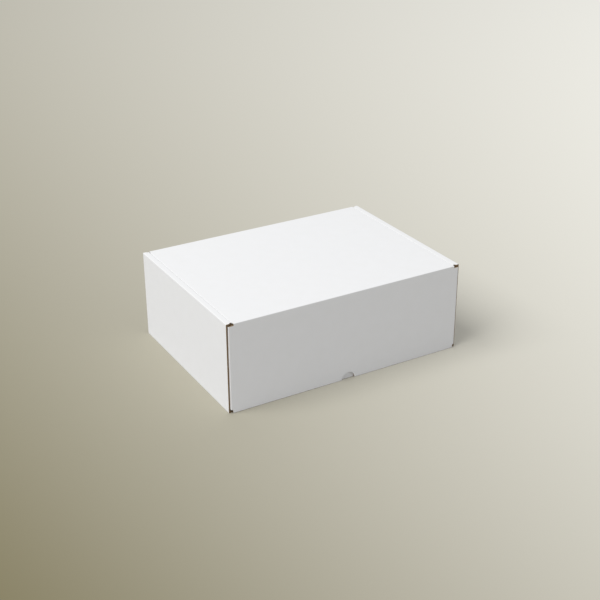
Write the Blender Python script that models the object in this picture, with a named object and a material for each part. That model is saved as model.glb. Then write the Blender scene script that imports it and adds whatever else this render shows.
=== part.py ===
# Corrugated mailer box with rolled side walls, a hinged lid and an outside front flap.
# It is one die-cut blank of thin fluted board, white outside and brown inside.
# The blank is folded here as it is by hand: flat panels joined by rounded creases.
# Two creases stay free to turn: back wall to lid, and lid to front flap.
# Metres, +Z up, origin under the middle of the box, front flap facing -Y.

import math

import bmesh
import bpy
from mathutils import Matrix, Vector

# Space inside the closed box
INNER_LENGTH = 0.2802
INNER_WIDTH = 0.2085
INNER_HEIGHT = 0.1016

# Board and creases
BOARD = 0.0015
CREASE_INSIDE = 0.0002
CREASE_STEPS = 6
CLEARANCE = 0.0003
LAYER_GAP = 0.0001
WELD = 0.000001

# Raw rear ends of the side walls, set back from the back wall's face
SIDE_REAR_SETBACK = 0.0003

# Locking tabs of the rolled walls, and their slots in the base
TAB_LENGTH = 0.036
TAB_SPACING = 0.104
TAB_TAPER = 0.003

# Corner flaps, folded from the front and back walls into the rolled side walls
CORNER_FLAP_LENGTH = 0.068
CORNER_FLAP_LIFT = 0.0030
CORNER_FLAP_TAPER = 0.004
CORNER_FLAP_ROUND = 0.008

# Relief where a wall or flap meets the lid's corner
CORNER_DROP = 0.0024
CREASE_INSET = 0.0078
LID_TONGUE = 0.0026

# Dust flaps, folded down from the lid's sides
DUST_FLAP_DEPTH = 0.056
DUST_FLAP_TAPER = 0.012
DUST_FLAP_ROUND = 0.010

# Front flap, its thumb notch, its cut bottom corners and its ears
THUMB_RADIUS = 0.008
THUMB_STEPS = 18
FLAP_CORNER_INSET = 0.0043
FLAP_CORNER_RISE = 0.0020
EAR_BOTTOM = 0.0042
EAR_TIP_HEIGHT = 0.011
EAR_ROUND = 0.005

# Facets of the long arcs and of the rounded corners
SWING_STEPS = 12
ROUND_STEPS = 6

# Rounded end of the lid in its creases, as a share of half the board
NOSE_SHARE = 0.96
NOSE_SEGMENTS = 4

# Sizes that follow
CREASE_RADIUS = BOARD + CREASE_INSIDE
EAR_INSET = CREASE_RADIUS + CLEARANCE
CORNER_FLAP_INSET = EAR_INSET + BOARD + CLEARANCE
ROLL_WIDTH = CORNER_FLAP_INSET + 2 * BOARD + LAYER_GAP
LENGTH = INNER_LENGTH + 2 * ROLL_WIDTH
WIDTH = INNER_WIDTH + 3 * BOARD + CLEARANCE
HEIGHT = INNER_HEIGHT + 2 * BOARD

# Half sizes and the planes that the panels lie in
SIDE = LENGTH / 2
BACK = WIDTH / 2
FRONT = -WIDTH / 2
FRONT_WALL = FRONT + BOARD + CLEARANCE
INSIDE_FRONT = FRONT_WALL + BOARD + CLEARANCE
INSIDE_BACK = BACK - BOARD - CLEARANCE
WALL_TOP = HEIGHT - BOARD - CLEARANCE
CORNER_TOP = HEIGHT - CORNER_DROP
CREASE_END = SIDE - CREASE_INSET
SIDE_FRONT = FRONT + CREASE_RADIUS + CLEARANCE

# Crease axes of the lid and of the front flap, both along X at the lid's corners
HINGE_HEIGHT = HEIGHT - BOARD / 2
LID_HINGE_Y = BACK - BOARD / 2

QUARTER = math.radians(90)


# Outlines

def rounded(corners):
    """Points of an outline; a corner given as (x, y, radius) becomes an arc."""
    points = []
    for index, corner in enumerate(corners):
        here = Vector(corner[:2])
        if len(corner) == 2:
            points.append(here)
            continue
        before = Vector(corners[index - 1][:2]) - here
        after = Vector(corners[(index + 1) % len(corners)][:2]) - here
        half = before.angle(after) / 2
        reach = corner[2] / math.tan(half)
        start = here + before.normalized() * reach
        end = here + after.normalized() * reach
        middle = (before.normalized() + after.normalized()).normalized()
        centre = here + middle * corner[2] / math.sin(half)
        turn = (start - centre).angle_signed(end - centre)
        for step in range(ROUND_STEPS + 1):
            angle = -turn * step / ROUND_STEPS
            points.append(centre + Matrix.Rotation(angle, 2) @ (start - centre))
    return points


def mirrored(points):
    """The same outline for the other side, still anticlockwise."""
    return [(-point[0], *point[1:]) for point in reversed(points)]


def on_side(points, side):
    """An outline drawn for the right-hand side, or its mirror image."""
    return points if side > 0 else mirrored(points)


# Sheet

def panel(sheet, frame, corners, holes=()):
    """A flat panel in a frame whose Z is the white side, with optional holes."""
    loops = []
    for outline in (rounded(corners), *holes):
        verts = [sheet.verts.new(frame @ Vector((x, y, 0))) for x, y in outline]
        loops.append(verts)
    if len(loops) == 1:
        sheet.faces.new(loops[0])
        return
    edges = []
    for verts in loops:
        for start, end in zip(verts, verts[1:] + verts[:1]):
            edges.append(sheet.edges.new((start, end)))
    filled = bmesh.ops.triangle_fill(sheet, use_beauty=True, edges=edges)
    outward = frame.to_3x3() @ Vector((0, 0, 1))
    for face in filled["geom"]:
        if isinstance(face, bmesh.types.BMFace):
            face.normal_update()
            if face.normal.dot(outward) < 0:
                face.normal_flip()


def crease(sheet, frame, line):
    """A quarter turn along a line of points; gives the next panel's frame."""
    points = [frame @ Vector((x, y, 0)) for x, y in line]
    outward = frame.to_3x3() @ Vector((0, 0, 1))
    along = (points[-1] - points[0]).normalized()
    foot = points[0] + along * along.dot(frame.translation - points[0])
    centre = foot - outward * CREASE_RADIUS
    verts = [sheet.verts.new(point) for point in points]
    edges = [sheet.edges.new(pair) for pair in zip(verts, verts[1:])]
    known = set(sheet.faces)
    bmesh.ops.spin(sheet, geom=verts + edges, cent=centre, axis=along, angle=QUARTER,
                   steps=CREASE_STEPS, use_merge=False, use_normal_flip=False)
    for face in set(sheet.faces) - known:
        face.normal_update()
        middle = face.calc_center_median() - centre
        if face.normal.dot(middle - along * along.dot(middle)) < 0:
            face.normal_flip()
    away = along.cross(outward)
    flat = Matrix((-along, away, outward)).transposed().to_4x4()
    flat.translation = foot
    there = Matrix.Translation(centre)
    return there @ Matrix.Rotation(QUARTER, 4, along) @ there.inverted() @ flat


def board_object(name, sheet, color, origin):
    """The sheet as a board: thickness goes inwards from the white side."""
    bmesh.ops.remove_doubles(sheet, verts=sheet.verts, dist=WELD)
    bmesh.ops.translate(sheet, verts=sheet.verts, vec=-Vector(origin))
    mesh = bpy.data.meshes.new(name)
    sheet.to_mesh(mesh)
    sheet.free()
    body = bpy.data.objects.new(name, mesh)
    bpy.context.collection.objects.link(body)
    body.location = origin
    material = bpy.data.materials.new(name)
    material.use_nodes = True
    shader = material.node_tree.nodes["Principled BSDF"]
    shader.inputs["Base Color"].default_value = color
    shader.inputs["Roughness"].default_value = 0.6
    shader.inputs["Metallic"].default_value = 0
    mesh.materials.append(material)
    solid = body.modifiers.new("board", "SOLIDIFY")
    solid.thickness = BOARD
    solid.offset = -1
    solid.use_even_offset = True
    return body


# Tray

def tab_outline(middle, top, bottom):
    """One locking tab on the lower edge of a rolled wall."""
    half = TAB_LENGTH / 2
    return [(middle + half, top), (middle + half - TAB_TAPER, bottom),
            (middle - half + TAB_TAPER, bottom), (middle - half, top)]


def slot_outline(side, middle):
    """The slot that a tab goes into, in the base."""
    inner = SIDE - ROLL_WIDTH - CLEARANCE
    outer = SIDE - ROLL_WIDTH + BOARD + CLEARANCE
    half = TAB_LENGTH / 2 + CLEARANCE
    corners = [(inner, middle - half), (outer, middle - half),
               (outer, middle + half), (inner, middle + half)]
    return on_side(corners, side)


def rolled_side(sheet, base, side):
    """Outer wall, strip over the top and inner wall with its tabs."""
    wall_rear = BACK - SIDE_REAR_SETBACK
    fold = SIDE - CREASE_RADIUS
    wall_height = HEIGHT - 2 * CREASE_RADIUS
    strip = ROLL_WIDTH - 2 * CREASE_RADIUS
    strip_end = EAR_INSET + BOARD - CREASE_RADIUS
    depth = HEIGHT - CREASE_RADIUS - BOARD - CLEARANCE
    tab_depth = HEIGHT - CREASE_RADIUS - CLEARANCE
    # The base's local Y runs forwards, so world y changes sign on it
    base_line = [(fold, -wall_rear), (fold, -SIDE_FRONT)]
    wall = crease(sheet, base, on_side(base_line, side))
    panel(sheet, wall, on_side([
        (SIDE_FRONT, 0), (wall_rear, 0), (wall_rear, wall_height), (SIDE_FRONT, wall_height)], side))
    top_line = [(wall_rear, wall_height), (SIDE_FRONT, wall_height)]
    roll = crease(sheet, wall, on_side(top_line, side))
    panel(sheet, roll, on_side([
        (SIDE_FRONT, 0), (wall_rear, 0), (wall_rear, strip_end), (INSIDE_BACK, strip),
        (INSIDE_FRONT, strip), (SIDE_FRONT, strip_end)], side))
    inner_line = [(INSIDE_BACK, strip), (INSIDE_FRONT, strip)]
    inner = crease(sheet, roll, on_side(inner_line, side))
    panel(sheet, inner, on_side([
        (INSIDE_FRONT, 0), (INSIDE_BACK, 0), (INSIDE_BACK, depth),
        *tab_outline(TAB_SPACING / 2, depth, tab_depth),
        *tab_outline(-TAB_SPACING / 2, depth, tab_depth),
        (INSIDE_FRONT, depth)], side))


def end_wall(sheet, base, line_y, corner_inset):
    """Front or back wall with its two corner flaps."""
    half = SIDE - corner_inset - CREASE_RADIUS
    facing = 1 if line_y > 0 else -1
    wall = crease(sheet, base, [(facing * half, line_y), (-facing * half, line_y)])
    low = CORNER_FLAP_LIFT - CREASE_RADIUS
    high = CORNER_TOP - CREASE_RADIUS
    top = WALL_TOP - CREASE_RADIUS
    right = [(half, 0), (half, low), (half, high), (CREASE_END, high), (CREASE_END, top)]
    panel(sheet, wall, right + mirrored(right))
    for side in (1, -1):
        flap = crease(sheet, wall, on_side([(half, low), (half, high)], side))
        panel(sheet, flap, on_side([
            (-high, 0), (-low, 0),
            (-low - CORNER_FLAP_TAPER, CORNER_FLAP_LENGTH, CORNER_FLAP_ROUND),
            (-high + CORNER_FLAP_TAPER, CORNER_FLAP_LENGTH, CORNER_FLAP_ROUND)], side))


def build_tray():
    sheet = bmesh.new()
    # White side down, so local Y runs to the front
    base = Matrix((Vector((1, 0, 0)), Vector((0, -1, 0)), Vector((0, 0, -1)))).transposed().to_4x4()
    fold = SIDE - CREASE_RADIUS
    front_line = -FRONT_WALL - CREASE_RADIUS
    back_line = -BACK + CREASE_RADIUS
    front_half = SIDE - CORNER_FLAP_INSET - CREASE_RADIUS
    back_half = SIDE - EAR_INSET - CREASE_RADIUS
    # Right half of the base's outline, from the back to the front
    right = [(back_half, back_line), (back_half, back_line - CREASE_INSIDE),
             (fold, -BACK + SIDE_REAR_SETBACK), (fold, -SIDE_FRONT), (front_half, front_line)]
    slots = []
    for side in (1, -1):
        for middle in (TAB_SPACING / 2, -TAB_SPACING / 2):
            slots.append(slot_outline(side, middle))
    panel(sheet, base, right + mirrored(right), slots)
    for side in (1, -1):
        rolled_side(sheet, base, side)
    end_wall(sheet, base, front_line, CORNER_FLAP_INSET)
    end_wall(sheet, base, back_line, EAR_INSET)
    return board_object("tray", sheet, (0.80, 0.80, 0.79, 1), (0, 0, 0))


# Lid

def swing(radius, centre, drop):
    """Distance of a circle around the lid's crease from a plane, at a drop below it."""
    return centre - math.sqrt(radius ** 2 - drop ** 2)


def dust_flap_outline():
    """Right-hand dust flap; its front edge is an arc around the lid's crease."""
    rear = INSIDE_BACK - LID_TONGUE
    radius = LID_HINGE_Y - INSIDE_FRONT
    fold_drop = CREASE_RADIUS - BOARD / 2
    points = [(-rear, 0), (-INSIDE_FRONT, 0)]
    for step in range(1, SWING_STEPS + 1):
        depth = DUST_FLAP_DEPTH * step / SWING_STEPS
        points.append((-swing(radius, LID_HINGE_Y, fold_drop + depth), depth))
    points.append((-rear + DUST_FLAP_TAPER, DUST_FLAP_DEPTH, DUST_FLAP_ROUND))
    return points


def build_lid():
    sheet = bmesh.new()
    top = Matrix.Translation((0, 0, HEIGHT))
    fold = SIDE - ROLL_WIDTH - CLEARANCE - CREASE_RADIUS
    rear = INSIDE_BACK - LID_TONGUE
    right = [(CREASE_END, FRONT), (CREASE_END, FRONT + LID_TONGUE), (fold, INSIDE_FRONT),
             (fold, rear), (CREASE_END, BACK - LID_TONGUE), (CREASE_END, BACK)]
    panel(sheet, top, right + mirrored(right))
    for side in (1, -1):
        line = on_side([(fold, INSIDE_FRONT), (fold, rear)], side)
        flap = crease(sheet, top, line)
        panel(sheet, flap, on_side(dust_flap_outline(), side))
    # Both ends along X are rounded, so that they turn in their creases
    weights = sheet.edges.layers.float.new("bevel_weight_edge")
    for edge in sheet.edges:
        ends = [vert.co.y for vert in edge.verts]
        if max(ends) <= FRONT + WELD or min(ends) >= BACK - WELD:
            edge[weights] = 1
    lid = board_object("lid", sheet, (0.86, 0.86, 0.87, 1), (0, LID_HINGE_Y, HINGE_HEIGHT))
    nose = lid.modifiers.new("nose", "BEVEL")
    nose.limit_method = "WEIGHT"
    nose.offset_type = "OFFSET"
    nose.width = BOARD / 2 * NOSE_SHARE
    nose.segments = NOSE_SEGMENTS
    return lid


# Front flap

def ear_outline():
    """Right-hand ear; its rear edge is an arc around the lid's crease."""
    reach = LID_HINGE_Y - FRONT
    points = [(-CORNER_TOP, 0), (-EAR_BOTTOM, 0)]
    heights = [EAR_TIP_HEIGHT + (CORNER_TOP - EAR_TIP_HEIGHT) * step / SWING_STEPS
               for step in range(SWING_STEPS)]
    for height in heights:
        edge = swing(reach - CREASE_RADIUS, reach, HINGE_HEIGHT - height) - CREASE_RADIUS
        points.append((-height, edge))
    points[2] = (*points[2], EAR_ROUND)
    return points


def build_front_flap():
    sheet = bmesh.new()
    front = Matrix((Vector((1, 0, 0)), Vector((0, 0, 1)), Vector((0, -1, 0)))).transposed().to_4x4()
    front.translation = (0, FRONT, 0)
    fold = SIDE - EAR_INSET - CREASE_RADIUS
    corner = SIDE - FLAP_CORNER_INSET
    right = [(corner, CLEARANCE), (corner, CLEARANCE + FLAP_CORNER_RISE), (fold, EAR_BOTTOM),
             (fold, CORNER_TOP), (CREASE_END, CORNER_TOP), (CREASE_END, WALL_TOP)]
    notch = []
    for step in range(THUMB_STEPS + 1):
        angle = math.pi * (1 - step / THUMB_STEPS)
        notch.append((THUMB_RADIUS * math.cos(angle), CLEARANCE + THUMB_RADIUS * math.sin(angle)))
    panel(sheet, front, notch + right + mirrored(right))
    for side in (1, -1):
        ear = crease(sheet, front, on_side([(fold, EAR_BOTTOM), (fold, CORNER_TOP)], side))
        panel(sheet, ear, on_side(ear_outline(), side))
    origin = (0, FRONT + BOARD / 2, HINGE_HEIGHT)
    return board_object("front_flap", sheet, (0.78, 0.78, 0.78, 1), origin)


def main():
    for leftover in list(bpy.data.objects):
        bpy.data.objects.remove(leftover)
    build_tray()
    build_lid()
    build_front_flap()


main()
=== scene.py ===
import math

import bmesh
import bpy
from mathutils import Matrix, Vector


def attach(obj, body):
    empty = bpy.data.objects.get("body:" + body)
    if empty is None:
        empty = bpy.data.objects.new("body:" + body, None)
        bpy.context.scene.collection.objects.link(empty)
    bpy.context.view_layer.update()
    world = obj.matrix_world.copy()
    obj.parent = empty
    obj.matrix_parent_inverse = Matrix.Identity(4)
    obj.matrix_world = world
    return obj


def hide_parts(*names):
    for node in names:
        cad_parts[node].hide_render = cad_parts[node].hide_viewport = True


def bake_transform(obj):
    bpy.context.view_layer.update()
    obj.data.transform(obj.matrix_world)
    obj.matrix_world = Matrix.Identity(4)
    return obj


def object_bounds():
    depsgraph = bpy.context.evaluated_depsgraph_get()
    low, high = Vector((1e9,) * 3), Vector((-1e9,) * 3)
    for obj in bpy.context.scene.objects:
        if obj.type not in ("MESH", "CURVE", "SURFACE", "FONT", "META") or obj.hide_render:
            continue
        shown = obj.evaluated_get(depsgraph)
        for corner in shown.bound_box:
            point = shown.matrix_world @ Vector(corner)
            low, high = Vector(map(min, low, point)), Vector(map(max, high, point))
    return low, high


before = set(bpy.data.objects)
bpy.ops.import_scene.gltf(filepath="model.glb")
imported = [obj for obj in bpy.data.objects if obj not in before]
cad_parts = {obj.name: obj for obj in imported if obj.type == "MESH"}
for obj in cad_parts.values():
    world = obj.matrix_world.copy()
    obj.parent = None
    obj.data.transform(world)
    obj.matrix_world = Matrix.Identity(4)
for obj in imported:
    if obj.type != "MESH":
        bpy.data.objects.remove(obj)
cadLow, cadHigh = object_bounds()
mm = 0.001
hair = 0.01 * mm  # how near counts as the same place
weld = 0.1 * hair  # points nearer than this are merged
facing = 0.5  # least part of a face's normal along some way for the face to look that way
quarterTurn = math.radians(90)
smoothAngle = math.radians(35)  # edges that turn less than this are shaded smooth

# The board, as it comes to the die cutter
board = {
    "thick": 1.5 * mm,
    "liner": 0.25 * mm,
    "medium": 0.18 * mm,
    "flutePitch": 3.3 * mm,
    "fluteSteps": 8,
    "foldInside": 0.2 * mm,
    "foldSteps": 6,
    "hold": 0.4 * mm,  # flat strip kept beside each fold, so that its shading stays off the panel
    "pressed": 0.5 * mm,  # outer radius of a fold, because each is pressed to a tight corner
}
foldRadius = board["thick"] + board["foldInside"]
foldMiddle = board["thick"] / 2 + board["foldInside"]
foldStep = 2 * foldMiddle * math.tan(quarterTurn / 2 / board["foldSteps"])
foldBand = foldStep * board["foldSteps"]

# The closed box: where its panels lie, in from the outer faces
box = {
    "gap": 0.3 * mm,  # between boards that slide past each other
    "layerGap": 0.1 * mm,  # between a corner flap and the inner side wall
    "cornerDrop": 2.4 * mm,  # from the top down to the corner flaps and ears
    "creaseInset": 7.8 * mm,  # from a side to the end of a free crease
    "lidTongue": 2.6 * mm,  # from the front or back to the lid's edge beside a free crease
}
side, front, back, top = cadHigh.x, cadLow.y, cadHigh.y, cadHigh.z
earInset = foldRadius + box["gap"]
cornerInset = earInset + board["thick"] + box["gap"]
rollWidth = cornerInset + 2 * board["thick"] + box["layerGap"]
frontWall = front + board["thick"] + box["gap"]
insideFront = frontWall + board["thick"] + box["gap"]
insideBack = back - board["thick"] - box["gap"]
creaseEnd = side - box["creaseInset"]
cornerTop = top - box["cornerDrop"]
panelTop = top - foldRadius
hingeY = back - board["thick"] / 2
hingeZ = top - board["thick"] / 2


# Colours and nodes

def hexColor(text):
    channels = [int(text[i:i + 2], 16) / 255 for i in (1, 3, 5)]
    return [c / 12.92 if c <= 0.04045 else ((c + 0.055) / 1.055) ** 2.4 for c in channels] + [1]


def addNode(tree, kind, values=None, links=None, **settings):
    node = tree.nodes.new("ShaderNode" + kind)
    for name, value in settings.items():
        setattr(node, name, value)
    for socket, value in (values or {}).items():
        node.inputs[socket].default_value = value
    for socket, source in (links or {}).items():
        tree.links.new(source, node.inputs[socket])
    return node


def newMaterial(name, finish):
    material = bpy.data.materials.new(name)
    material.use_nodes = True
    tree = material.node_tree
    shader = tree.nodes["Principled BSDF"]
    shader.inputs["Roughness"].default_value = finish["roughness"]
    shader.inputs["IOR"].default_value = finish["ior"]
    return material, tree, shader


# The flutes print through both liners as a faint washboard of their own pitch
wavePeriod = 2 * math.pi / 20  # from crest to crest of Blender's wave texture at scale 1
flutePrint = {"Scale": wavePeriod / board["flutePitch"], "Distortion": 0}
fluteWay = {"wave_type": "BANDS", "bands_direction": "Y", "wave_profile": "SIN"}

# Clay-coated white top liner: calendered, so matt with a slight sheen and almost no fibre
coating = {
    "roughness": 0.7,
    "ior": 1.35,
    "white": "#f2f2f2",
    "cloud": "#efefee",
    "cloudSize": 14 * mm,
    "cloudDetail": 3,
    "toothSize": 0.6 * mm,
    "toothDetail": 2,
    "toothDepth": 0.004 * mm,
    "washboardDepth": 0.004 * mm,
}


def coatedWhiteLiner():
    material, tree, shader = newMaterial("clayCoatedWhiteLiner", coating)
    place = addNode(tree, "UVMap", uv_map="blank").outputs["UV"]
    cloud = addNode(tree, "TexNoise",
                    {"Scale": 1 / coating["cloudSize"], "Detail": coating["cloudDetail"]},
                    {"Vector": place})
    tint = addNode(tree, "Mix", {"A": hexColor(coating["white"]), "B": hexColor(coating["cloud"])},
                   {"Factor": cloud.outputs["Fac"]}, data_type="RGBA")
    tooth = addNode(tree, "TexNoise",
                    {"Scale": 1 / coating["toothSize"], "Detail": coating["toothDetail"]},
                    {"Vector": place})
    flutes = addNode(tree, "TexWave", flutePrint, {"Vector": place}, **fluteWay)
    ribs = addNode(tree, "Bump", {"Distance": coating["washboardDepth"]},
                   {"Height": flutes.outputs["Fac"]})
    skin = addNode(tree, "Bump", {"Distance": coating["toothDepth"]},
                   {"Height": tooth.outputs["Fac"], "Normal": ribs.outputs["Normal"]})
    tree.links.new(tint.outputs["Result"], shader.inputs["Base Color"])
    tree.links.new(skin.outputs["Normal"], shader.inputs["Normal"])
    return material


# Unbleached kraft inner liner: long fibres lie across the flutes, with darker shives among them
kraft = {
    "roughness": 0.85,
    "ior": 1.45,
    "light": "#c3a27a",
    "dark": "#ab8a60",
    "shive": "#7d6142",
    "fibreWidth": 0.5 * mm,
    "fibreStretch": 5,
    "fibreDetail": 4,
    "cloudSize": 9 * mm,
    "cloudDetail": 3,
    "darkBelow": 0.45,
    "lightAbove": 1.05,
    "shiveSize": 1.6 * mm,
    "shiveDetail": 2,
    "shiveFrom": 0.68,
    "shiveFull": 0.76,
    "toothDepth": 0.02 * mm,
    "washboardDepth": 0.02 * mm,
}


def kraftInnerLiner():
    material, tree, shader = newMaterial("unbleachedKraftLiner", kraft)
    place = addNode(tree, "UVMap", uv_map="blank").outputs["UV"]
    along = addNode(tree, "Mapping", {"Scale": (1, 1 / kraft["fibreStretch"], 1)},
                    {"Vector": place}).outputs["Vector"]
    fibre = addNode(tree, "TexNoise",
                    {"Scale": 1 / kraft["fibreWidth"], "Detail": kraft["fibreDetail"]},
                    {"Vector": along}).outputs["Fac"]
    cloud = addNode(tree, "TexNoise",
                    {"Scale": 1 / kraft["cloudSize"], "Detail": kraft["cloudDetail"]},
                    {"Vector": place}).outputs["Fac"]
    blend = addNode(tree, "Math", {}, {0: fibre, 1: cloud, 2: fibre}, operation="MULTIPLY_ADD")
    spread = addNode(tree, "MapRange",
                     {"From Min": kraft["darkBelow"], "From Max": kraft["lightAbove"]},
                     {"Value": blend.outputs["Value"]})
    paper = addNode(tree, "Mix", {"A": hexColor(kraft["dark"]), "B": hexColor(kraft["light"])},
                    {"Factor": spread.outputs["Result"]}, data_type="RGBA")
    spots = addNode(tree, "TexNoise",
                    {"Scale": 1 / kraft["shiveSize"], "Detail": kraft["shiveDetail"]},
                    {"Vector": along})
    rare = addNode(tree, "MapRange",
                   {"From Min": kraft["shiveFrom"], "From Max": kraft["shiveFull"]},
                   {"Value": spots.outputs["Fac"]})
    tint = addNode(tree, "Mix", {"B": hexColor(kraft["shive"])},
                   {"Factor": rare.outputs["Result"], "A": paper.outputs["Result"]}, data_type="RGBA")
    flutes = addNode(tree, "TexWave", flutePrint, {"Vector": place}, **fluteWay)
    ribs = addNode(tree, "Bump", {"Distance": kraft["washboardDepth"]},
                   {"Height": flutes.outputs["Fac"]})
    skin = addNode(tree, "Bump", {"Distance": kraft["toothDepth"]},
                   {"Height": fibre, "Normal": ribs.outputs["Normal"]})
    tree.links.new(tint.outputs["Result"], shader.inputs["Base Color"])
    tree.links.new(skin.outputs["Normal"], shader.inputs["Normal"])
    return material


# Recycled fluting medium and the torn, fuzzy paper of every cut edge.
# They read Object coordinates, because a cut edge has no width in the flat blank.
rawPaper = {
    "roughness": 0.9,
    "ior": 1.45,
    "mediumLight": "#b39670",
    "mediumDark": "#967a56",
    "edgeLight": "#b19b7d",
    "edgeDark": "#937b5c",
    "fuzzSize": 0.35 * mm,
    "fuzzDetail": 3,
    "fuzzDepth": 0.03 * mm,
}


def rawMaterial(name, light, dark):
    material, tree, shader = newMaterial(name, rawPaper)
    place = addNode(tree, "TexCoord").outputs["Object"]
    fuzz = addNode(tree, "TexNoise",
                   {"Scale": 1 / rawPaper["fuzzSize"], "Detail": rawPaper["fuzzDetail"]},
                   {"Vector": place}).outputs["Fac"]
    tint = addNode(tree, "Mix", {"A": hexColor(dark), "B": hexColor(light)}, {"Factor": fuzz},
                   data_type="RGBA")
    rough = addNode(tree, "Bump", {"Distance": rawPaper["fuzzDepth"]}, {"Height": fuzz})
    tree.links.new(tint.outputs["Result"], shader.inputs["Base Color"])
    tree.links.new(rough.outputs["Normal"], shader.inputs["Normal"])
    return material


# Matt scenic paint on the floor, with no sheen. The camera and mirrored rays see it fade
# across the picture, and the box gets the light of a plain one.
floorPaint = {
    "roughness": 0.9,
    "ior": 1.45,
    "dark": "#878065",
    "pale": "#fffdf4",
    "fade": 1.18,  # over 1, the dark paint takes up more of the picture
    "fadeWay": (0.5, 0.5, 0),  # from the lower left of the picture to the upper right
    "bounce": "#b8b6b1",
}


def paintedFloor():
    material, tree, shader = newMaterial("paintedStudioFloor", floorPaint)
    window = addNode(tree, "TexCoord").outputs["Window"]
    across = addNode(tree, "VectorMath", {1: floorPaint["fadeWay"]}, {0: window},
                     operation="DOT_PRODUCT")
    fade = addNode(tree, "Math", {1: floorPaint["fade"]}, {0: across.outputs["Value"]},
                   operation="POWER")
    seen = addNode(tree, "Mix", {"A": hexColor(floorPaint["dark"]), "B": hexColor(floorPaint["pale"])},
                   {"Factor": fade.outputs["Value"]}, data_type="RGBA")
    ray = addNode(tree, "LightPath").outputs
    mirrored = addNode(tree, "Math", {}, {0: ray["Is Glossy Ray"], 1: ray["Is Transmission Ray"]},
                       operation="ADD")
    looking = addNode(tree, "Math", {}, {0: ray["Is Camera Ray"], 1: mirrored.outputs["Value"]},
                      operation="ADD")
    tint = addNode(tree, "Mix", {"A": hexColor(floorPaint["bounce"])},
                   {"Factor": looking.outputs["Value"], "B": seen.outputs["Result"]}, data_type="RGBA")
    tree.links.new(tint.outputs["Result"], shader.inputs["Base Color"])
    shader.inputs["Specular IOR Level"].default_value = 0
    return material


whiteFinish = coatedWhiteLiner()
kraftFinish = kraftInnerLiner()
mediumFinish = rawMaterial("recycledFlutingMedium", rawPaper["mediumLight"], rawPaper["mediumDark"])
edgeFinish = rawMaterial("dieCutPaperEdge", rawPaper["edgeLight"], rawPaper["edgeDark"])
print("materials made")


# Hands: small steps that every piece uses

def clearSelection():
    bpy.ops.object.select_all(action="DESELECT")


def pickUp(piece):
    clearSelection()
    piece.select_set(True)
    bpy.context.view_layer.objects.active = piece


def selectWhere(piece, test, kind="verts"):
    # In edit mode: selects the vertices or faces that a test picks, and nothing else
    bpy.ops.mesh.select_mode(type="VERT" if kind == "verts" else "FACE")
    bpy.ops.mesh.select_all(action="DESELECT")
    mesh = bmesh.from_edit_mesh(piece.data)
    mesh.verts.ensure_lookup_table()
    for item in getattr(mesh, kind):
        if test(item):
            item.select_set(True)
    mesh.select_flush_mode()
    bmesh.update_edit_mesh(piece.data)


def boolean(piece, cutter, operation):
    pickUp(piece)
    tool = piece.modifiers.new("cut", "BOOLEAN")
    tool.operation = operation
    tool.solver = "EXACT"
    tool.object = cutter
    bpy.ops.object.modifier_apply(modifier="cut")


# Die: the outline as a filled ring of corners, rounded where they ask for it, then pulled up
die = {
    "below": 1 * mm,  # how far the die reaches under the board
    "height": 4 * mm,
    "punchHeight": 12 * mm,
    "roundSteps": 8,
    "pastMiddle": -4 * mm,  # the half blank runs on to here, and the Mirror modifier trims it
    "margin": 1 * mm,  # how far the layers stand out past the blank before it is cut
}


def makeDie(name, corners):
    clearSelection()
    bpy.ops.mesh.primitive_circle_add(vertices=len(corners), fill_type="NGON", radius=1,
                                      location=(0, 0, 0))
    piece = bpy.context.object
    piece.name = name
    for vert, corner in zip(piece.data.vertices, corners):
        vert.co = (corner[0], corner[1], -die["below"])
    bpy.ops.object.mode_set(mode="EDIT")
    for corner in corners:
        if len(corner) == 3:  # a third number is the corner's radius
            spot = Vector((corner[0], corner[1], -die["below"]))
            selectWhere(piece, lambda vert: (vert.co - spot).length < hair)
            bpy.ops.mesh.bevel(affect="VERTICES", offset=corner[2], segments=die["roundSteps"])
    bpy.ops.mesh.select_all(action="SELECT")
    bpy.ops.mesh.extrude_region_move(TRANSFORM_OT_translate={"value": (0, 0, die["height"])})
    bpy.ops.mesh.select_all(action="SELECT")
    bpy.ops.mesh.normals_make_consistent(inside=False)
    bpy.ops.object.mode_set(mode="OBJECT")
    return piece


def slotPunch(low, high):
    # A slot knife of the die: low and high are its opposite corners on the blank
    clearSelection()
    bpy.ops.mesh.primitive_cube_add(
        size=1, location=((low[0] + high[0]) / 2, (low[1] + high[1]) / 2, die["below"]),
        scale=(high[0] - low[0], high[1] - low[1], die["punchHeight"]))
    return bpy.context.object


def roundPunch(centre, radius, steps):
    clearSelection()
    bpy.ops.mesh.primitive_cylinder_add(vertices=steps, radius=radius, depth=die["punchHeight"],
                                        location=(centre[0], centre[1], die["below"]))
    return bpy.context.object


# Layers of the board, as big as the blank, before the die comes down

def linerLayer(name, area, low, faceFinish, faceUp):
    clearSelection()
    bpy.ops.mesh.primitive_cube_add(
        size=1, location=((area[0] + area[2]) / 2, (area[1] + area[3]) / 2, low + board["liner"] / 2),
        scale=(area[2] - area[0], area[3] - area[1], board["liner"]))
    piece = bpy.context.object
    piece.name = name
    bpy.ops.object.transform_apply(location=True, rotation=True, scale=True)
    piece.data.materials.append(edgeFinish)
    piece.data.materials.append(faceFinish)
    for face in piece.data.polygons:
        face.material_index = 1 if face.normal.z * faceUp > facing else 0
    return piece


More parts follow.
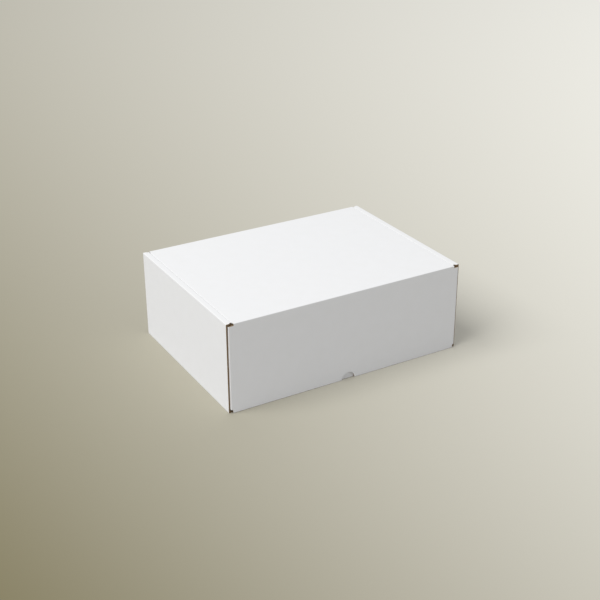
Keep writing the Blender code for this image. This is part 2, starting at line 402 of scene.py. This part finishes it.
def flutedLayer(name, area):
    flutes = math.ceil((area[3] - area[1]) / board["flutePitch"])
    clearSelection()
    bpy.ops.mesh.primitive_grid_add(x_subdivisions=1, y_subdivisions=flutes * board["fluteSteps"],
                                    size=1)
    piece = bpy.context.object
    piece.name = name
    piece.scale = (area[2] - area[0], flutes * board["flutePitch"], 1)
    piece.location = ((area[0] + area[2]) / 2, (area[1] + area[3]) / 2, board["thick"] / 2)
    bpy.ops.object.transform_apply(location=True, rotation=True, scale=True)
    swing = board["thick"] / 2 - board["liner"] - board["medium"] / 2
    for vert in piece.data.vertices:
        vert.co.z += swing * math.cos(2 * math.pi * vert.co.y / board["flutePitch"])
    wall = piece.modifiers.new("wall", "SOLIDIFY")
    wall.thickness = board["medium"]
    wall.offset = 0
    bpy.ops.object.modifier_apply(modifier="wall")
    piece.data.materials.append(mediumFinish)
    return piece


# Score lines: cut rows of edges across a fold, on the faces that the fold's own test picks

def score(piece, folds, every):
    pickUp(piece)
    bpy.ops.object.mode_set(mode="EDIT")
    for line in sorted(folds, key=lambda line: not line.get("rightAcross")):
        spots = [line["at"] + line["way"] * foldStep * step
                 for step in range(0, board["foldSteps"] + 1, every)]
        spots.append(line["at"] - line["way"] * board["hold"])
        spots.append(line["at"] + line["way"] * (foldBand + board["hold"]))
        axis = 0 if line["along"] == "Y" else 1

        def crossed(face):
            return line.get("rightAcross") or line["on"](face.calc_center_median())

        for spot in spots:
            plane = Vector((0, 0, 0))
            plane[axis] = spot
            normal = Vector((0, 0, 0))
            normal[axis] = 1
            selectWhere(piece, crossed, "faces")
            bpy.ops.mesh.bisect(plane_co=plane, plane_no=normal, use_fill=False, threshold=weld)
    bpy.ops.object.mode_set(mode="OBJECT")


def pressedSpot(run, drop, steps):
    # Where a point of a quarter bend goes when its outside is pressed to a tight corner.
    # There the first and the last step lie flat, and the steps between make the corner.
    turn = math.atan2(run, drop)
    out = (math.hypot(run, drop) - board["foldInside"]) / board["thick"]
    turn += ((turn - quarterTurn / steps) / (1 - 2 / steps) - turn) * out
    inset = (foldRadius - board["pressed"]) * out
    curve = board["foldInside"] + (board["pressed"] - board["foldInside"]) * out
    return inset + curve * math.sin(turn), inset + curve * math.cos(turn)


def pressFold(piece, flat, line, axis):
    mesh = bmesh.from_edit_mesh(piece.data)
    for vert in mesh.verts:
        across = (flat[vert.index][axis] - line["at"]) * line["way"]
        if hair < across < foldBand - hair and line["on"](flat[vert.index]):
            run, drop = (vert.co[axis] - line["at"]) * line["way"], foldRadius - vert.co.z
            run, drop = pressedSpot(run, drop, board["foldSteps"])
            vert.co[axis] = line["at"] + line["way"] * run
            vert.co.z = foldRadius - drop
    bmesh.update_edit_mesh(piece.data)


def foldUp(piece, folds):
    # Everything past a score line turns up by one step, the outermost line first
    flat = [vert.co.copy() for vert in piece.data.vertices]
    turn = quarterTurn / board["foldSteps"]
    pickUp(piece)
    bpy.ops.object.mode_set(mode="EDIT")
    for line in folds:
        axis = 0 if line["along"] == "Y" else 1
        for step in range(board["foldSteps"], 0, -1):
            edge = line["at"] + line["way"] * foldStep * step
            pivot = Vector((0, 0, board["thick"] / 2))
            pivot[axis] = edge - line["way"] * foldStep / 2

            def past(vert):
                spot = flat[vert.index]
                return line["on"](spot) and (spot[axis] - edge) * line["way"] > -hair

            selectWhere(piece, past)
            # With no window an operator turns the other way round, so the sign is the opposite one
            lift = turn * line["way"] * (1 if line["along"] == "Y" else -1)
            bpy.ops.transform.rotate(value=lift, orient_axis=line["along"], center_override=pivot)
        pressFold(piece, flat, line, axis)
    bpy.ops.object.mode_set(mode="OBJECT")


def blankMap(piece):
    # The UV map is the flat blank itself, in metres
    while piece.data.uv_layers:
        piece.data.uv_layers.remove(piece.data.uv_layers[0])
    return piece.data.uv_layers.new(name="blank").data


def makeBoard(name, corners, punches, folds, turnOver, place):
    cutter = makeDie(name + "Die", corners)
    for punch in punches:
        boolean(cutter, punch, "DIFFERENCE")
        bpy.data.objects.remove(punch)
    across = [corner[0] for corner in corners]
    along = [corner[1] for corner in corners]
    area = (min(across) - die["margin"], min(along) - die["margin"],
            max(across) + die["margin"], max(along) + die["margin"])
    layers = [
        linerLayer(name + "White", area, 0, whiteFinish, -1),
        linerLayer(name + "Kraft", area, board["thick"] - board["liner"], kraftFinish, 1),
        flutedLayer(name + "Medium", area),
    ]
    for layer, every in zip(layers, (1, 1, 2)):  # the medium needs only every other score
        boolean(layer, cutter, "INTERSECT")
        score(layer, folds, every)
    bpy.data.objects.remove(cutter)
    clearSelection()
    for layer in layers:
        layer.select_set(True)
    bpy.context.view_layer.objects.active = layers[0]
    bpy.ops.object.join()
    piece = bpy.context.object
    piece.name = name
    blank = blankMap(piece)
    for loop in piece.data.loops:
        blank[loop.index].uv = piece.data.vertices[loop.vertex_index].co.xy
    foldUp(piece, folds)
    pickUp(piece)
    piece.rotation_euler = turnOver
    piece.location = place
    bpy.ops.object.transform_apply(location=True, rotation=True, scale=True)
    mirror = piece.modifiers.new("otherHalf", "MIRROR")
    mirror.use_axis = (True, False, False)
    mirror.use_bisect_axis = (True, False, False)
    mirror.merge_threshold = hair
    if turnOver[1]:
        mirror.use_bisect_flip_axis = (True, False, False)
    bpy.ops.object.modifier_apply(modifier="otherHalf")
    blank = piece.data.uv_layers["blank"].data
    for face in piece.data.polygons:
        if face.center.x < 0:
            for index in face.loop_indices:
                blank[index].uv.x *= -1
    bpy.ops.object.shade_smooth_by_angle(angle=smoothAngle)
    print(name, len(piece.data.polygons), "faces")
    return piece


# Tray: base, front and back walls with corner flaps, and the rolled side walls
tray = {
    "rearSetback": 0.3 * mm,
    "tabLength": 36 * mm,
    "tabSpacing": 104 * mm,
    "tabTaper": 3 * mm,
    "flapLength": 68 * mm,
    "flapLift": 3 * mm,
    "flapTaper": 4 * mm,
    "flapRound": 8 * mm,
}


def buildTray():
    baseFold = side - foldRadius
    frontFold = frontWall + foldRadius
    backFold = back - foldRadius
    frontHalf = side - cornerInset - foldRadius
    backHalf = side - earInset - foldRadius
    wallFront = front + foldRadius + box["gap"]
    wallRear = back - tray["rearSetback"]
    # Along X, from the base's fold outwards: wall, strip, inner wall, tabs
    wallTop = baseFold + foldBand + top - 2 * foldRadius
    stripStart = wallTop + foldBand
    stripStep = stripStart + earInset + board["thick"] - foldRadius
    stripEnd = stripStart + rollWidth - 2 * foldRadius
    innerFoot = stripEnd + foldBand + top - foldRadius - board["thick"] - box["gap"]
    tabFoot = innerFoot + board["thick"]

    def level(fold, way, height):
        # Y on the blank of a height on a folded-up wall
        return fold + way * (foldBand + height - foldRadius)

    def cornerFlap(half, fold, way):
        # From the flap's foot to its top, going outwards and round its tip
        root = half + foldBand
        tip = root + tray["flapLength"]
        low, high = tray["flapLift"], cornerTop
        return [(half, level(fold, way, low)), (root, level(fold, way, low)),
                (tip, level(fold, way, low + tray["flapTaper"]), tray["flapRound"]),
                (tip, level(fold, way, high - tray["flapTaper"]), tray["flapRound"]),
                (creaseEnd, level(fold, way, high)), (creaseEnd, level(fold, way, panelTop))]

    def tab(middle):
        half = tray["tabLength"] / 2
        taper = tray["tabTaper"]
        return [(innerFoot, middle - half), (tabFoot, middle - half + taper),
                (tabFoot, middle + half - taper), (innerFoot, middle + half)]

    frontFlap = cornerFlap(frontHalf, frontFold, -1)
    backFlap = cornerFlap(backHalf, backFold, 1)
    corners = [(die["pastMiddle"], level(frontFold, -1, panelTop)), *reversed(frontFlap),
               (frontHalf, frontFold), (baseFold, wallFront), (stripStep, wallFront),
               (stripEnd, insideFront), (innerFoot, insideFront),
               *tab(-tray["tabSpacing"] / 2), *tab(tray["tabSpacing"] / 2),
               (innerFoot, insideBack), (stripEnd, insideBack), (stripStep, wallRear),
               (baseFold, wallRear), (backHalf, backFold),
               *backFlap, (die["pastMiddle"], level(backFold, 1, panelTop))]
    slotInner = side - rollWidth - box["gap"]
    slotOuter = side - rollWidth + board["thick"] + box["gap"]
    slotHalf = tray["tabLength"] / 2 + box["gap"]
    slots = [slotPunch((slotInner, middle - slotHalf), (slotOuter, middle + slotHalf))
             for middle in (-tray["tabSpacing"] / 2, tray["tabSpacing"] / 2)]

    def inFrontWall(spot):
        return spot.y < wallFront - hair or (spot.x < frontHalf + hair and spot.y < frontFold + hair)

    def inBackWall(spot):
        return spot.y > wallRear + hair or (spot.x < backHalf + hair and spot.y > backFold - hair)

    def inSideWall(spot):
        return wallFront - hair < spot.y < wallRear + hair

    cornerFolds = [
        {"at": frontHalf, "way": 1, "along": "Y", "on": lambda spot: spot.y < wallFront - hair},
        {"at": backHalf, "way": 1, "along": "Y", "on": lambda spot: spot.y > wallRear + hair},
    ]
    sideFolds = [
        {"at": stripEnd, "way": 1, "along": "Y", "on": inSideWall},
        {"at": wallTop, "way": 1, "along": "Y", "on": inSideWall},
        {"at": baseFold, "way": 1, "along": "Y", "on": inSideWall},
    ]
    wallFolds = [
        {"at": frontFold, "way": -1, "along": "X", "on": inFrontWall, "rightAcross": True},
        {"at": backFold, "way": 1, "along": "X", "on": inBackWall, "rightAcross": True},
    ]
    folds = cornerFolds + sideFolds + wallFolds
    return makeBoard("trayBoard", corners, slots, folds, (0, 0, 0), (0, 0, 0))


trayBoard = buildTray()
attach(trayBoard, "tray")
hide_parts("tray")


# Lid with its two dust flaps, whose front edges are arcs around the lid's fold
lid = {
    "dustDepth": 56 * mm,
    "dustTaper": 12 * mm,
    "dustRound": 10 * mm,
    "arcSteps": 12,
}


def buildLid():
    fold = side - rollWidth - box["gap"] - foldRadius
    root = fold + foldBand
    rear = insideBack - box["lidTongue"]
    lidFront, lidBack = front + foldRadius, back - foldRadius
    reach = hingeY - insideFront
    arc = []
    for step in range(lid["arcSteps"] + 1):
        depth = lid["dustDepth"] * step / lid["arcSteps"]
        drop = foldRadius - board["thick"] / 2 + depth
        arc.append((root + depth, hingeY - math.sqrt(reach ** 2 - drop ** 2)))
    corners = [(die["pastMiddle"], lidFront), (creaseEnd, lidFront),
               (creaseEnd, front + box["lidTongue"]), (fold, insideFront), *arc,
               (root + lid["dustDepth"], rear - lid["dustTaper"], lid["dustRound"]),
               (root, rear), (fold, rear), (creaseEnd, back - box["lidTongue"]), (creaseEnd, lidBack),
               (die["pastMiddle"], lidBack)]
    folds = [{"at": fold, "way": 1, "along": "Y", "on": lambda spot: True}]
    return makeBoard("lidBoard", corners, [], folds, (0, 2 * quarterTurn, 0), (0, 0, top))


lidBoard = buildLid()
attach(lidBoard, "lid")
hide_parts("lid")


# Front flap with its thumb notch, cut bottom corners and two ears.
# An ear's rear edge is an arc around the lid's fold too, so it can swing with the lid.
flap = {
    "thumbRadius": 8 * mm,
    "thumbSteps": 64,
    "cornerInset": 4.3 * mm,
    "cornerRise": 2 * mm,
    "earBottom": 4.2 * mm,
    "earTip": 11 * mm,
    "earRound": 5 * mm,
    "arcSteps": 12,
}


def buildFlap():
    # On the blank, Y is minus the height that a point ends at
    fold = side - earInset - foldRadius
    root = fold + foldBand
    corner = side - flap["cornerInset"]
    bottom = -box["gap"]
    reach = hingeY - front
    arc = []
    for step in range(flap["arcSteps"]):
        height = flap["earTip"] + (cornerTop - flap["earTip"]) * step / flap["arcSteps"]
        edge = reach - math.sqrt((reach - foldRadius) ** 2 - (hingeZ - height) ** 2) - foldRadius
        arc.append((root + edge, -height))
    arc[0] = (*arc[0], flap["earRound"])
    corners = [(die["pastMiddle"], bottom), (corner, bottom), (corner, bottom - flap["cornerRise"]),
               (fold, -flap["earBottom"]), (root, -flap["earBottom"]), *arc,
               (root, -cornerTop), (creaseEnd, -cornerTop), (creaseEnd, -panelTop),
               (die["pastMiddle"], -panelTop)]
    thumb = roundPunch((0, bottom), flap["thumbRadius"], flap["thumbSteps"])
    folds = [{"at": fold, "way": 1, "along": "Y", "on": lambda spot: True}]
    return makeBoard("flapBoard", corners, [thumb], folds, (-quarterTurn, 0, 0), (0, front, 0))


flapBoard = buildFlap()
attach(flapBoard, "front_flap")
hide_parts("front_flap")


# Live folds: the two liners run on over the crushed medium, from panel to panel.
# Each is a quarter ring.
liveFold = {"steps": 16}


def liveLiner(name, axisY, way, inner, outer, finish, faceOut):
    # way is 1 at the back and -1 at the front, where the ring starts on the upright panel
    clearSelection()
    bpy.ops.mesh.primitive_plane_add(size=1, location=(0, axisY + way * (inner + outer) / 2, panelTop))
    piece = bpy.context.object
    piece.name = name
    piece.scale = (2 * creaseEnd, outer - inner, 1)
    bpy.ops.object.transform_apply(location=True, rotation=True, scale=True)
    bpy.ops.object.mode_set(mode="EDIT")
    bpy.ops.mesh.select_all(action="SELECT")
    bpy.ops.mesh.spin(steps=liveFold["steps"], angle=quarterTurn * way, dupli=False,
                      center=(0, axisY, panelTop), axis=(-1, 0, 0))
    bpy.ops.mesh.select_all(action="SELECT")
    bpy.ops.mesh.remove_doubles(threshold=weld)
    bpy.ops.mesh.normals_make_consistent(inside=False)
    bpy.ops.object.mode_set(mode="OBJECT")
    blank = blankMap(piece)
    for loop in piece.data.loops:
        spot = piece.data.vertices[loop.vertex_index].co
        turn = math.atan2(spot.z - panelTop, way * (spot.y - axisY))
        blank[loop.index].uv = (spot.x, axisY + way * turn * outer)
    piece.data.materials.append(edgeFinish)
    piece.data.materials.append(finish)
    for face in piece.data.polygons:
        radial = Vector((0, face.center.y - axisY, face.center.z - panelTop))
        outward = face.normal.dot(radial.normalized())
        face.material_index = 1 if outward * faceOut > facing else 0
    for vert in piece.data.vertices:
        run, drop = way * (vert.co.y - axisY), vert.co.z - panelTop
        if min(run, drop) > hair:
            run, drop = pressedSpot(run, drop, liveFold["steps"])
            vert.co.y = axisY + way * run
            vert.co.z = panelTop + drop
    piece.data.update()
    bpy.ops.object.shade_smooth_by_angle(angle=smoothAngle)
    return piece


def liveFoldPieces(name, axisY, way):
    white = liveLiner(name + "White", axisY, way,
                      foldRadius - board["liner"], foldRadius, whiteFinish, 1)
    inner = liveLiner(name + "Kraft", axisY, way,
                      board["foldInside"], board["foldInside"] + board["liner"], kraftFinish, -1)
    ends = []
    for radius in (foldRadius, board["foldInside"]):
        ends.append(((0, axisY + way * radius, panelTop), (0, axisY, panelTop + radius)))
    return zip((white, inner), ends)


for piece, (onWall, onLid) in liveFoldPieces("lidFold", back - foldRadius, 1):
    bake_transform(piece)
for piece, (onFlap, onLid) in liveFoldPieces("flapFold", front + foldRadius, -1):
    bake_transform(piece)
print("live folds made")


# Floor, lamps and camera
studio = {
    "floorSize": 60.0,
    "worldColor": (0.985, 0.995, 1.02, 1),
    "worldStrength": 0.55,
    "keyPower": 240.0,
    "keySize": 4.1,
    "keyDistance": 6.0,
    "keyFrom": (-0.589, 0.0, 0.808),
}
camera = {
    "azimuth": -30.13,
    "elevation": 25.97,
    "roll": -0.22,
    "distance": 4.475,
    "right": 0.00177,
    "up": -0.00037,
    "lens": 68.01,
    "sensorWidth": 36,
    "clipStart": 0.01,
}


def buildStudio():
    clearSelection()
    bpy.ops.mesh.primitive_plane_add(size=studio["floorSize"], location=(0, 0, 0))
    floor = bpy.context.object
    floor.name = "studioFloor"
    floor.data.materials.append(paintedFloor())
    world = bpy.data.worlds.new("studio")
    bpy.context.scene.world = world
    world.use_nodes = True
    sky = world.node_tree.nodes["Background"]
    sky.inputs["Color"].default_value = studio["worldColor"]
    sky.inputs["Strength"].default_value = studio["worldStrength"]
    way = Vector(studio["keyFrom"]).normalized()
    bpy.ops.object.light_add(type="AREA", location=way * studio["keyDistance"])
    key = bpy.context.object
    key.name = "softbox"
    key.rotation_euler = way.to_track_quat("Z", "Y").to_euler()
    key.data.size = studio["keySize"]
    key.data.energy = studio["keyPower"]


def buildCamera():
    turn, tilt = math.radians(camera["azimuth"]), math.radians(camera["elevation"])
    roll = math.radians(camera["roll"])
    length = 2 * side
    centre = (cadLow + cadHigh) / 2
    away = Vector((math.sin(turn) * math.cos(tilt), -math.cos(turn) * math.cos(tilt), math.sin(tilt)))
    right = Vector((math.cos(turn), math.sin(turn), 0))
    up = away.cross(right)
    rightRolled = right * math.cos(roll) + up * math.sin(roll)
    upRolled = up * math.cos(roll) - right * math.sin(roll)
    bpy.ops.object.camera_add()
    shot = bpy.context.object
    shot.name = "productCamera"
    matrix = Matrix((rightRolled, upRolled, away)).transposed().to_4x4()
    matrix.translation = (centre + away * camera["distance"] * length
                          + rightRolled * camera["right"] * length + upRolled * camera["up"] * length)
    shot.matrix_world = matrix
    shot.data.lens = camera["lens"]
    shot.data.sensor_width = camera["sensorWidth"]
    shot.data.clip_start = camera["clipStart"]
    bpy.context.scene.camera = shot


buildStudio()
buildCamera()
bpy.context.scene.view_settings.view_transform = "Standard"
print("studio and camera made")
